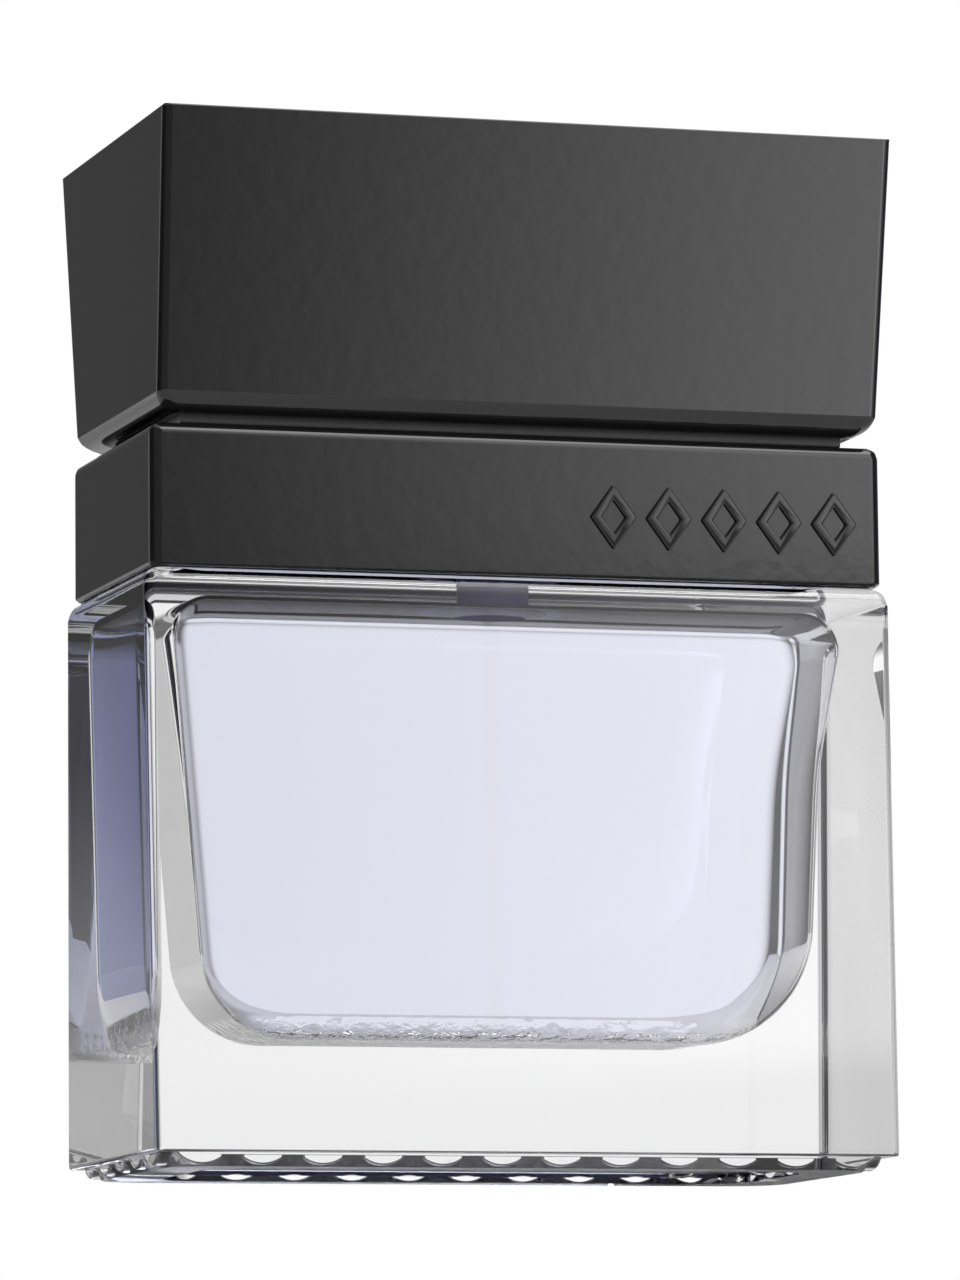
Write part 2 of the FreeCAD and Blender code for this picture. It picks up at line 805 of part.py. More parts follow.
def make_button():
    """The push button with its nozzle insert and its metal overshell."""
    button = new_body("actuator_button")
    low = size("button_bottom_level")
    high = size("button_top_level")
    web = size("button_web_level")
    spin(button, "Button", [
        (size("button_skirt_radius"), low),
        (size("button_radius"), low),
        (size("button_radius"), high),
        (0, high),
        (0, size("socket_top_level")),
        (size("socket_radius"), size("socket_top_level")),
        (size("socket_radius"), size("socket_bottom_level")),
        (size("socket_boss_radius"), size("socket_bottom_level")),
        (size("socket_boss_radius"), web),
        (size("button_skirt_radius"), web),
    ])
    riser = add_sketch(button, "Riser_outline", XY, size("socket_top_level"))
    add_circle(riser, size("channel_radius"))
    pocket(button, "Riser", riser, size("nozzle_level") - size("socket_top_level") + size("channel_radius"),
           reverse=True)
    front = add_sketch(button, "Nozzle_outline", XZ, size("button_radius"))
    add_circle(front, size("nozzle_radius"), 0, size("nozzle_level"))
    pocket(button, "Nozzle_pocket", front, size("nozzle_pocket_depth"))
    duct = add_sketch(button, "Duct_outline", XZ, size("button_radius"))
    add_circle(duct, size("duct_radius"), 0, size("nozzle_level"))
    pocket(button, "Duct", duct, size("button_radius"))
    keep(button, "actuator_button")

    insert = new_body("nozzle_insert")
    face = add_sketch(insert, "Insert_outline", XZ, size("button_radius") - size("nozzle_pocket_depth"))
    add_circle(face, size("nozzle_radius"))
    add_circle(face, size("nozzle_post_radius"))
    pad(insert, "Wall", face, size("nozzle_pocket_depth") - size("nozzle_plate_thickness"))
    plate = add_sketch(insert, "Plate_outline", XZ, size("button_radius") - size("nozzle_plate_thickness"))
    add_circle(plate, size("nozzle_radius"))
    add_circle(plate, size("nozzle_hole_radius"))
    pad(insert, "Plate", plate, size("nozzle_plate_thickness"))
    insert.setExpression("Placement.Base.z", "Dims.nozzle_level")
    keep(insert, "nozzle_insert")

    shell = new_body("actuator_overshell")
    bore = size("overshell_bore_radius")
    outer = size("overshell_radius")
    top = size("overshell_top_level")
    spin(shell, "Shell", [
        (bore, size("overshell_bottom_level")),
        (outer, size("overshell_bottom_level")),
        (outer, top),
        (0, top),
        (0, high),
        (bore, high),
    ])
    round_edges(shell, "Top_round", size("overshell_top_round"),
                lambda box: near(box.ZMin, top))
    window = add_sketch(shell, "Window_outline", XZ, outer)
    add_circle(window, size("overshell_window_radius"), 0, size("nozzle_level"))
    pocket(shell, "Window", window, size("overshell_window_reach"))
    keep(shell, "actuator_overshell")


def make_cap():
    """The cap: a flared shell, the foot plate that closes it and the sleeve that grips the pump."""
    body = new_body("cap_block")
    edge = size("cap_edge_level")
    top = size("cap_top_level")
    lip = size("cap_lip_level")
    inset = size("cap_lip_inset") * 2
    width = size("cap_bottom_width")
    depth = size("cap_bottom_depth")
    foot = rectangle_at(body, "Foot", lip, width - inset, depth - inset)
    wide = rectangle_at(body, "Edge", edge, width, depth)
    crown = rectangle_at(body, "Crown", top, size("cap_top_width"), size("cap_top_depth"))
    loft(body, "Walls", wide, crown)
    loft(body, "Bevel", foot, wide)

    def radius_of(box):
        if near(box.ZMin, top):
            return size("cap_top_sharp_round")
        if near(box.ZMax, lip):
            return None
        if box.ZLength < TINY:
            return size("cap_edge_round")
        return size("cap_side_round")

    rounded = round_all(body, "cap_block_rounded", radius_of)

    core = new_body("cap_core")
    wall = size("cap_wall") * 2
    ceiling = top - size("cap_roof")
    opening = rectangle_at(core, "Opening", lip - OVERRUN, width - wall, depth - wall)
    upper = rectangle_at(core, "Upper", ceiling, size("cap_top_width") - wall, size("cap_top_depth") - wall)
    mouth = rectangle_at(core, "Mouth", size("plate_top_level"), width - wall, depth - wall)
    loft(core, "Straight", opening, mouth)
    loft(core, "Flared", mouth, upper)
    shell = document.addObject("Part::Cut", "cap_shell")
    shell.Base = rounded
    shell.Tool = core
    keep(shell, "cap_shell")

    plate = new_body("cap_foot_plate")
    low = size("plate_bottom_level")
    gap = size("plate_gap") * 2
    outline = rectangle_at(plate, "Plate_outline", low, width - wall - gap, depth - wall - gap)
    add_circle(outline, size("plate_hole_radius"))
    pad(plate, "Plate", outline, size("plate_top_level") - low)
    round_edges(plate, "Foot_round", size("plate_foot_round"),
                lambda box: near(box.ZMax, low) and min(box.XLength, box.YLength) < TINY)
    keep(plate, "cap_foot_plate")

    seat = size("plate_top_level")
    roof = size("sleeve_top_level")
    keep_spun("cap_grip_sleeve", [
        (size("sleeve_bore_radius"), size("sleeve_bottom_level")),
        (size("sleeve_radius"), size("sleeve_bottom_level")),
        (size("sleeve_radius"), seat),
        (size("sleeve_flange_radius"), seat),
        (size("sleeve_flange_radius"), seat + size("sleeve_flange_thickness")),
        (size("sleeve_radius"), seat + size("sleeve_flange_thickness")),
        (size("sleeve_radius"), roof),
        (0, roof),
        (0, roof - size("sleeve_roof")),
        (size("sleeve_bore_radius"), roof - size("sleeve_roof")),
    ])


def check_document():
    """Stop if any object failed or any sub-part is empty or broken."""
    for item in document.Objects:
        if "Invalid" in item.State or "Error" in item.State:
            raise RuntimeError(f"{item.Label} failed: {item.State}")
    for piece in pieces:
        if piece.Shape.isNull() or not piece.Shape.isValid():
            raise RuntimeError(f"{piece.Label} has no valid shape")


def write_parts():
    """Write each sub-part to its own file."""
    os.makedirs("parts", exist_ok=True)
    for piece in pieces:
        piece.Shape.exportStep(os.path.join("parts", f"{piece.Label}.step"))
        volume = piece.Shape.Volume
        print(f"{piece.Label}: {len(piece.Shape.Solids)} solid(s), {volume:.1f} mm3")


fill_sheet()
make_glass()
make_liquid()
make_collar()
make_pad()
make_ornament()
make_pump()
make_button()
make_cap()
document.recompute()
check_document()
write_parts()
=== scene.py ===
import math

import bmesh
import bpy
from mathutils import Matrix, Vector


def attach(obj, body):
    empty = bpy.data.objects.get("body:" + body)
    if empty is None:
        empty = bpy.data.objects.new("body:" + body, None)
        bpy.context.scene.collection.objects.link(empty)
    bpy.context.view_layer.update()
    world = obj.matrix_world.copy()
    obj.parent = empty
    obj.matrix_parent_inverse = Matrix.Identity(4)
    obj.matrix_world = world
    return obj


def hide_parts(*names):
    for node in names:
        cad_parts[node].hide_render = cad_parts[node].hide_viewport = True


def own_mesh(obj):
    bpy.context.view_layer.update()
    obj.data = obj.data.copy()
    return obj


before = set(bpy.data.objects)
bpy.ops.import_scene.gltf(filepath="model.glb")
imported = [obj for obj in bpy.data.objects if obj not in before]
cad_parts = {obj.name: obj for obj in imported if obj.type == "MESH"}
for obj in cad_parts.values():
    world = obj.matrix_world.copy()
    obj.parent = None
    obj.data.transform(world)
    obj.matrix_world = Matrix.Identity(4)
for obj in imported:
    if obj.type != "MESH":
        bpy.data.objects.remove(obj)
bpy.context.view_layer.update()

MM = 0.001
OVERRUN = 1.0  # how far cutting and joined solids run past each other, in millimetres
TINY = 0.05  # levels closer than this are taken as the same

# Levels and sizes of the object in millimetres, the same as the CAD model's.
GLASS_LEVELS = {"heel": 1.5, "shoulder": 68.0, "rim": 81.0}
GLASS_RECTANGLES = {"heel": (88.65, 41.42), "shoulder": (89.65, 37.0)}
GLASS_ROUNDS = {"heel": 0.5, "shoulder": 2.3, "upright": 1.1}
PLINTH = {"inset": 1.0, "round": 7.0, "chamfer": 1.3}
PUSH_UP = {"width": 72.0, "depth": 28.0, "height": 0.7, "round": 6.0}
SCALLOP = {
    "width": 5.9, "bottom": 0.15, "top": 2.2, "reach": 2.6, "setback": 1.05, "round": 0.4, "pitch": 7.05,
}
SCALLOP_COUNTS = {"long": 12, "short": 5}
CAVITY = {
    "bottom": 14.5, "waist": 47.0, "top": 65.2, "depth": 27.6,
    "left_bottom": 36.6, "left_top": 40.7,
    "right_bottom": 35.6, "right_waist": 37.5, "right_top": 41.3,
}
CAVITY_ROUNDS = {"left": 10.5, "right": 14.5, "waist": 60.0, "top": 4.5, "edge": 4.0}
NECK = {"radius": 6.7, "bore": 4.3, "bead": 7.5, "bead_under": 76.2, "bead_full": 77.0, "chamfer": 0.6}
FILL_LEVEL = 66.5
LIQUID_GAP = 0.03
DIP_TUBE = {"radius": 1.1, "bottom": 15.5, "nipple_radius": 1.75, "nipple_bottom": 63.8}
COLLAR = {"width": 88.0, "depth": 36.52, "top": 84.4, "wall": 2.0, "roof": 2.2, "hole": 9.3}
COLLAR_ROUNDS = {"upright": 1.2, "top": 1.4, "chamfer": 0.35}
MARKS = {"count": 5, "pitch": 6.75, "first": 11.0, "level": 75.1, "relief": 0.45, "edge": 0.2}
MARK_OUTER = (5.6, 7.6)
MARK_INNER = (2.9, 3.94)
CAP_LEVELS = {"lip": 85.6, "edge": 86.7, "top": 119.9, "mouth": 87.6, "ceiling": 117.3}
CAP_RECTANGLES = {"lip": (82.14, 33.69), "edge": (86.74, 38.29), "top": (87.78, 48.36)}
CAP_ROUNDS = {"top": 0.25, "edge": 1.2, "upright": 1.1}
CAP_WALL = 3.3
SPRING = {"radius": 2.3, "wire": 0.2, "pitch": 1.25, "bottom": 70.45, "length": 5.08, "seat": 70.2}
SPRING_STEPS = {"turn": 40, "wire": 12}

# Levels between which the ripple on the cavity's wall fades out, and how deep it and the slow swell are.
RIPPLE = {"full": 14.8, "gone": 17.2, "depth": 2.4, "scale": 520.0}
SWELL = {"depth": 0.22, "scale": 26.0}

GLASS_IOR = 1.5
WETTED_IOR = 1.103  # from the liquid into the glass, 1.5 over 1.36
STEEL = {"colour": (0.62, 0.62, 0.61), "roughness": 0.2}
NATURAL = {"colour": (0.80, 0.81, 0.80), "roughness": 0.35, "grain": 900.0, "clarity": 0.35}

# Which of the glass materials a face takes. The bonded one is painted shade, not glass.
CLEAR, WETTED, BONDED_PAINTED_SHADE = range(3)

# Camera: a long lens in front and to the left, 44 mm below the object's base, looking slightly up.
CAMERA_PLACE = (-0.25355, -0.81680, -0.04378)
CAMERA_YAW = 17.275
CAMERA_PITCH = 7.099
CAMERA_ROLL = 0.556
CAMERA_LENS = 207.05
SENSOR = 36.0

# Panels of light placed by direction, in degrees, and tuned for the reference view. Azimuth is 0 behind the
# object (+Y) and grows towards +X, and height is 0 at the horizon. A panel is its strength, the two edges
# of its azimuth and the two edges of its height, and an edge is the start and the end of its fade.
PANELS = {
    "behind_right": (1.0, ((-3, 10), (27, 42)), ((-3.5, -1.5), (11, 22))),
    "behind_left": (0.6, ((-55, -40), (-19.5, -16.5)), ((-14, -10), (11, 22))),
    "behind_middle": (0.58, ((-21, -17), (-3, 4)), ((-14, -10), (3.4, 6.2))),
    "behind_middle_high": (0.11, ((-24, -17), (-3, 4)), ((3.4, 6.2), (30, 50))),
    "front_right_low": (3.0, ((125, 140), (157, 166.5)), ((-60, -50), (-4, -1))),
    "front_right_high": (3.0, ((125, 140), (157, 166.5)), ((7.1, 7.65), (40, 55))),
    "right": (0.9, ((100, 118), (150, 156)), ((-14, -10), (6.3, 7.3))),
    "front": (0.3, ((150, 160), (190, 200)), ((-60, -50), (40, 55))),
    "front_left": (0.2, ((-190, -181), (-120, -100)), ((-60, -50), (40, 55))),
    "overhead": (1.0, None, ((45, 60), (91, 92))),
}
AMBIENT = 0.04
# A blue-violet panel at the right. It gives the left glass face its violet, for which the liquid's own
# absorption is too weak.
SIDE_PANEL = (0.6, ((50, 66), (71, 76)), ((-4, -2), (13, 24)))
SIDE_TINT = (0.5, 0.54, 1.0, 1)
FLOOR_HALF = 0.5


# ---------------------------------------------------------------- mesh tools

def link(name, mesh):
    """A new object for a mesh."""
    piece = bpy.data.objects.new(name, mesh)
    bpy.context.scene.collection.objects.link(piece)
    return piece


def from_bmesh(name, bm):
    """A new object for a bmesh, which is freed."""
    bmesh.ops.recalc_face_normals(bm, faces=bm.faces)
    mesh = bpy.data.meshes.new(name)
    bm.to_mesh(mesh)
    bm.free()
    return link(name, mesh)


def settle(piece):
    """Put the result of a piece's modifiers into its own mesh."""
    bpy.context.view_layer.update()
    graph = bpy.context.evaluated_depsgraph_get()
    final = bpy.data.meshes.new_from_object(piece.evaluated_get(graph), depsgraph=graph)
    piece.modifiers.clear()
    piece.data = final


def smooth(piece, angle=40.0):
    """Smooth shading that keeps flat faces flat and real corners sharp."""
    mesh = piece.data
    for face in mesh.polygons:
        face.use_smooth = True
    mesh.set_sharp_from_angle(angle=math.radians(angle))
    weighted = piece.modifiers.new("weighted", "WEIGHTED_NORMAL")
    weighted.keep_sharp = True
    weighted.weight = 100


def combine(piece, others, operation):
    """Join or cut solids with others, which are then removed."""
    for other in others:
        boolean = piece.modifiers.new(operation, "BOOLEAN")
        boolean.operation = operation
        boolean.solver = "MANIFOLD"
        boolean.object = other
    settle(piece)
    for other in others:
        bpy.data.objects.remove(other)


def block(name, levels, radius_of, segments=6):
    """A solid through centred rectangles (z, width, depth), with rounded edges."""
    bm = bmesh.new()
    weight = bm.edges.layers.float.new("bevel_weight_edge")
    signs = ((-1, -1), (1, -1), (1, 1), (-1, 1))
    rings = []
    for z, width, depth in levels:
        ring = [bm.verts.new((sx * width / 2 * MM, sy * depth / 2 * MM, z * MM)) for sx, sy in signs]
        rings.append(ring)
    bm.faces.new(list(reversed(rings[0])))
    bm.faces.new(rings[-1])
    for lower, upper in zip(rings, rings[1:]):
        for index in range(4):
            following = (index + 1) % 4
            bm.faces.new((lower[index], lower[following], upper[following], upper[index]))
    radii = {}
    for edge in bm.edges:
        ends = [vert.co.z / MM for vert in edge.verts]
        radii[edge] = radius_of(min(ends), max(ends))
    largest = max(radii.values())
    for edge, radius in radii.items():
        edge[weight] = radius / largest if largest else 0.0
    piece = from_bmesh(name, bm)
    if largest:
        bevel = piece.modifiers.new("rounds", "BEVEL")
        bevel.limit_method = "WEIGHT"
        bevel.width = largest * MM
        bevel.segments = segments
        bevel.use_clamp_overlap = False
        settle(piece)
    return piece


def lathe(name, profile, steps=96):
    """A solid turned about Z from a closed outline of (radius, z) in millimetres."""
    bm = bmesh.new()
    rings = []
    for radius, z in profile:
        if radius == 0:
            rings.append([bm.verts.new((0, 0, z * MM))])
            continue
        ring = []
        for step in range(steps):
            turn = 2 * math.pi * step / steps
            ring.append(bm.verts.new((radius * MM * math.cos(turn), radius * MM * math.sin(turn), z * MM)))
        rings.append(ring)
    for index, lower in enumerate(rings):
        upper = rings[(index + 1) % len(rings)]
        for step in range(steps):
            following = (step + 1) % steps
            corners = [lower[step % len(lower)], lower[following % len(lower)],
                       upper[following % len(upper)], upper[step % len(upper)]]
            corners = list(dict.fromkeys(corners))
            if len(corners) > 2:
                bm.faces.new(corners)
    return from_bmesh(name, bm)


def rounded_outline(corners, radii, steps):
    """Points of an anticlockwise outline whose corners are replaced by arcs."""
    points = []
    total = len(corners)
    for index, corner in enumerate(corners):
        here = Vector(corner)
        back = (Vector(corners[index - 1]) - here).normalized()
        ahead = (Vector(corners[(index + 1) % total]) - here).normalized()
        half = back.angle(ahead) / 2
        radius = radii[index]
        start = here + back * (radius / math.tan(half))
        centre = here + (back + ahead).normalized() * (radius / math.sin(half))
        sweep = math.pi - 2 * half
        if ahead.cross(back) < 0:
            sweep = -sweep
        arm = start - centre
        for step in range(steps + 1):
            turn = sweep * step / steps
            points.append(centre + Matrix.Rotation(turn, 2) @ arm)
    return points


def prism(name, outline, depth, rim=0.0, segments=8):
    """An outline in XZ raised symmetrically along Y, with rounded front and back rims."""
    bm = bmesh.new()
    front = [bm.verts.new((point.x * MM, -depth / 2 * MM, point.y * MM)) for point in outline]
    back = [bm.verts.new((point.x * MM, depth / 2 * MM, point.y * MM)) for point in outline]
    bm.faces.new(front)
    bm.faces.new(list(reversed(back)))
    rims = [bm.edges.get((loop[index], loop[index - 1]))
            for loop in (front, back) for index in range(len(loop))]
    for index in range(len(front)):
        bm.faces.new((front[index], front[index - 1], back[index - 1], back[index]))
    bmesh.ops.recalc_face_normals(bm, faces=bm.faces)
    if rim:
        bmesh.ops.bevel(bm, geom=rims, offset=rim * MM, offset_type="OFFSET", segments=segments,
                        profile=0.5, affect="EDGES", clamp_overlap=False)
    return from_bmesh(name, bm)


# ---------------------------------------------------------------- pieces

def cavity_solid(name, gap=0.0):
    """The U-shaped space inside the glass, smaller all round by gap."""
    bottom = CAVITY["bottom"] + gap
    top = CAVITY["top"] - gap
    corners = [
        (-CAVITY["left_bottom"] + gap, bottom),
        (CAVITY["right_bottom"] - gap, bottom),
        (CAVITY["right_waist"] - gap, CAVITY["waist"]),
        (CAVITY["right_top"] - gap, top),
        (-CAVITY["left_top"] + gap, top),
    ]
    radii = [CAVITY_ROUNDS[corner] for corner in ("left", "right", "waist", "top", "top")]
    outline = rounded_outline(corners, radii, steps=16)
    return prism(name, outline, CAVITY["depth"] - 2 * gap, CAVITY_ROUNDS["edge"])


def scallop_outline(steps=14):
    """Half the width of a scallop at each level of its curved lower edge, and its flat top."""
    half = SCALLOP["width"] / 2
    side = GLASS_LEVELS["heel"]
    rise = side - SCALLOP["bottom"]
    radius = (half * half + rise * rise) / (2 * rise)
    centre = SCALLOP["bottom"] + radius
    reach = math.asin(half / radius)
    arc = [reach * (2 * step / steps - 1) for step in range(steps + 1)]
    points = [(radius * math.sin(turn), centre - radius * math.cos(turn)) for turn in arc]
    return points + [(half, SCALLOP["top"]), (-half, SCALLOP["top"])]


def heel_scallops():
    """The tongues of glass in front of the heel on all four sides, in one mesh."""
    bm = bmesh.new()
    outline = scallop_outline()
    curved = len(outline) - 2
    width, depth = GLASS_RECTANGLES["heel"]
    rims = []
    for turn, count, half_depth in ((0, "long", depth / 2), (90, "short", width / 2),
                                    (180, "long", depth / 2), (270, "short", width / 2)):
        about = Matrix.Rotation(math.radians(turn), 3, "Z")
        front = half_depth - SCALLOP["setback"]
        total = SCALLOP_COUNTS[count]
        for index in range(total):
            middle = (index - (total - 1) / 2) * SCALLOP["pitch"]
            loops = [[bm.verts.new(about @ Vector((middle + x, -y, z)) * MM) for x, z in outline]
                     for y in (front, front - SCALLOP["reach"])]
            near, far = loops
            bm.faces.new(near)
            bm.faces.new(list(reversed(far)))
            for corner in range(len(outline)):
                bm.faces.new((near[corner], near[corner - 1], far[corner - 1], far[corner]))
            rims += [bm.edges.get((near[corner], near[corner + 1])) for corner in range(curved - 1)]
    bmesh.ops.recalc_face_normals(bm, faces=bm.faces)
    bmesh.ops.bevel(bm, geom=rims, offset=SCALLOP["round"] * MM, offset_type="OFFSET", segments=5,
                    profile=0.5, affect="EDGES", clamp_overlap=False)
    return from_bmesh("scallops", bm)


def build_plinth():
    """The shallow foot under the walls, set back from them, with wide corners."""
    across, along = [side / 2 - PLINTH["inset"] for side in GLASS_RECTANGLES["heel"]]
    corners = [(-across, -along), (across, -along), (across, along), (-across, along)]
    top = GLASS_LEVELS["heel"] + OVERRUN
    bm = bmesh.new()
    rings = []
    for z, inset in ((0, PLINTH["chamfer"]), (PLINTH["chamfer"], 0), (top, 0)):
        shrunk = [(x - math.copysign(inset, x), y - math.copysign(inset, y)) for x, y in corners]
        outline = rounded_outline(shrunk, [PLINTH["round"] - inset] * 4, steps=10)
        rings.append([bm.verts.new((point.x * MM, point.y * MM, z * MM)) for point in outline])
    bm.faces.new(list(reversed(rings[0])))
    bm.faces.new(rings[-1])
    for lower, upper in zip(rings, rings[1:]):
        for index in range(len(lower)):
            bm.faces.new((lower[index - 1], lower[index], upper[index], upper[index - 1]))
    return from_bmesh("plinth", bm)


def glass_radius(low, high):
    """The rounding of an edge of the glass block that runs from one level to another."""
    if low != high:
        return GLASS_ROUNDS["upright"]
    return GLASS_ROUNDS["heel" if low < GLASS_LEVELS["shoulder"] / 2 else "shoulder"]


def build_glass():
    """The clear block with its scalloped heel, neck, cavity and base hollow."""
    levels = [(GLASS_LEVELS[name], *GLASS_RECTANGLES[name]) for name in ("heel", "shoulder")]
    glass = block("glass_block", levels, glass_radius)
    rim = GLASS_LEVELS["rim"]
    shoulder = GLASS_LEVELS["shoulder"]
    neck = lathe("neck", [
        (0, shoulder - OVERRUN), (NECK["radius"], shoulder - OVERRUN), (NECK["radius"], NECK["bead_under"]),
        (NECK["bead"], NECK["bead_full"]), (NECK["bead"], rim - NECK["chamfer"]),
        (NECK["bead"] - NECK["chamfer"], rim), (0, rim),
    ])
    combine(glass, [build_plinth(), heel_scallops(), neck], "UNION")
    low = CAVITY["top"] - OVERRUN
    high = rim + OVERRUN
    bore = lathe("bore", [(0, low), (NECK["bore"], low), (NECK["bore"], high), (0, high)])
    across = PUSH_UP["width"] / 2
    along = PUSH_UP["depth"] / 2
    corners = [(-across, -along), (across, -along), (across, along), (-across, along)]
    outline = rounded_outline(corners, [PUSH_UP["round"]] * 4, steps=8)
    hollow = prism("hollow", outline, 2 * PUSH_UP["height"])
    hollow.data.transform(Matrix.Rotation(math.radians(90), 4, "X"))
    combine(glass, [cavity_solid("cavity"), bore, hollow], "DIFFERENCE")
    glass.data.materials.clear()
    for material in (clear_glass(), wetted_glass(), bonded_glass()):
        glass.data.materials.append(material)
    # Faces of the shoulder and neck take the painted dark violet shade.
    for face in glass.data.polygons:
        face.material_index = glass_part(face)
    smooth(glass, angle=34.0)
    return glass


def cavity_sides(z):
    """How far the cavity reaches to the left and to the right at a level."""
    share = (z - CAVITY["bottom"]) / (CAVITY["top"] - CAVITY["bottom"])
    left = CAVITY["left_bottom"] + share * (CAVITY["left_top"] - CAVITY["left_bottom"])
    if z < CAVITY["waist"]:
        share = (z - CAVITY["bottom"]) / (CAVITY["waist"] - CAVITY["bottom"])
        return left, CAVITY["right_bottom"] + share * (CAVITY["right_waist"] - CAVITY["right_bottom"])
    share = (z - CAVITY["waist"]) / (CAVITY["top"] - CAVITY["waist"])
    return left, CAVITY["right_waist"] + share * (CAVITY["right_top"] - CAVITY["right_waist"])


def glass_part(face):
    """Whether a face is clear outer glass, wetted by the liquid, or bonded to the pad, which takes painted
    shade.
    """
    x, y, z = face.center / MM
    slack = 0.3
    left, right = cavity_sides(z)
    if CAVITY["bottom"] - slack < z < CAVITY["top"] + slack and -left - slack < x < right + slack:
        if abs(y) < CAVITY["depth"] / 2 + slack:
            return WETTED
    if math.hypot(x, y) < NECK["bore"] + slack and CAVITY["top"] < z < FILL_LEVEL:
        return WETTED
    return BONDED_PAINTED_SHADE if z > GLASS_LEVELS["shoulder"] - TINY else CLEAR


def build_liquid():
    """The aftershave filling the cavity and the foot of the neck, round the dip tube and its nipple."""
    liquid = cavity_solid("liquid", LIQUID_GAP)
    bore = NECK["bore"] - LIQUID_GAP
    low = CAVITY["top"] - OVERRUN
    throat = lathe("throat", [(0, low), (bore, low), (bore, FILL_LEVEL), (0, FILL_LEVEL)])
    combine(liquid, [throat], "UNION")
    tube = DIP_TUBE["radius"] + LIQUID_GAP
    nipple = DIP_TUBE["nipple_radius"] + LIQUID_GAP
    foot = DIP_TUBE["nipple_bottom"] - LIQUID_GAP
    drowned = lathe("drowned", [
        (0, DIP_TUBE["bottom"] - LIQUID_GAP), (tube, DIP_TUBE["bottom"] - LIQUID_GAP), (tube, foot),
        (nipple, foot), (nipple, FILL_LEVEL + OVERRUN), (0, FILL_LEVEL + OVERRUN),
    ], steps=48)
    combine(liquid, [drowned], "DIFFERENCE")
    liquid.data.materials.clear()
    liquid.data.materials.append(lavender())
    smooth(liquid)
    return liquid


def build_collar():
    """The black band round the shoulder, open below, with a hole for the pump."""
    bottom = GLASS_LEVELS["shoulder"]
    chamfer = COLLAR_ROUNDS["chamfer"]
    width = COLLAR["width"]
    depth = COLLAR["depth"]

    def radius_of(low, high):
        if low != high:
            return COLLAR_ROUNDS["upright"]
        return COLLAR_ROUNDS["top"] if low > COLLAR["top"] - TINY else 0.0

    levels = [
        (bottom, width - 2 * chamfer, depth - 2 * chamfer),
        (bottom + chamfer, width, depth),
        (COLLAR["top"], width, depth),
    ]
    collar = block("collar", levels, radius_of)
    walls = 2 * COLLAR["wall"]
    roof = COLLAR["top"] - COLLAR["roof"]
    inside = block("inside", [(level, width - walls, depth - walls) for level in (bottom - OVERRUN, roof)],
                   lambda low, high: 0.0)
    under = roof - OVERRUN
    over = COLLAR["top"] + OVERRUN
    hole = lathe("hole", [(0, under), (COLLAR["hole"], under), (COLLAR["hole"], over), (0, over)])
    combine(collar, [inside, hole], "DIFFERENCE")
    collar.data.materials.clear()
    collar.data.materials.append(black_gloss())
    smooth(collar)
    return collar


def build_marks():
    """Five raised lozenge frames on the collar's front, with softened edges."""
    bm = bmesh.new()
    face = -COLLAR["depth"] / 2
    for index in range(MARKS["count"]):
        centre = MARKS["first"] + index * MARKS["pitch"]
        loops = []
        for wide, tall in (MARK_OUTER, MARK_INNER):
            spots = ((-wide / 2, 0), (0, -tall / 2), (wide / 2, 0), (0, tall / 2))
            for y in (face, face - MARKS["relief"]):
                loops.append([bm.verts.new(((centre + x) * MM, y * MM, (MARKS["level"] + z) * MM))
                              for x, z in spots])
        outer_back, outer_front, inner_back, inner_front = loops
        for corner in range(4):
            following = (corner + 1) % 4
            for first, second in ((outer_back, outer_front), (outer_front, inner_front),
                                  (inner_front, inner_back), (inner_back, outer_back)):
                bm.faces.new((first[corner], first[following], second[following], second[corner]))
    marks = from_bmesh("marks", bm)
    bevel = marks.modifiers.new("softened", "BEVEL")
    bevel.width = MARKS["edge"] * MM
    bevel.segments = 3
    settle(marks)
    marks.data.materials.clear()
    marks.data.materials.append(black_gloss())
    smooth(marks)
    return marks


def build_cap():
    """The flared black block, hollow and open below."""
    levels = [(CAP_LEVELS[name], *CAP_RECTANGLES[name]) for name in ("lip", "edge", "top")]

    def radius_of(low, high):
        if low != high:
            return CAP_ROUNDS["upright"]
        if abs(low - CAP_LEVELS["top"]) < TINY:
            return CAP_ROUNDS["top"]
        return CAP_ROUNDS["edge"] if abs(low - CAP_LEVELS["edge"]) < TINY else 0.0

    cap = block("cap", levels, radius_of)
    bottom = [side - 2 * CAP_WALL for side in CAP_RECTANGLES["edge"]]
    top = [side - 2 * CAP_WALL for side in CAP_RECTANGLES["top"]]
    core = block("core", [(CAP_LEVELS["lip"] - OVERRUN, *bottom), (CAP_LEVELS["mouth"], *bottom),
                          (CAP_LEVELS["ceiling"], *top)], lambda low, high: 0.0)
    combine(cap, [core], "DIFFERENCE")
    cap.data.materials.clear()
    cap.data.materials.append(black_gloss())
    smooth(cap)
    return cap


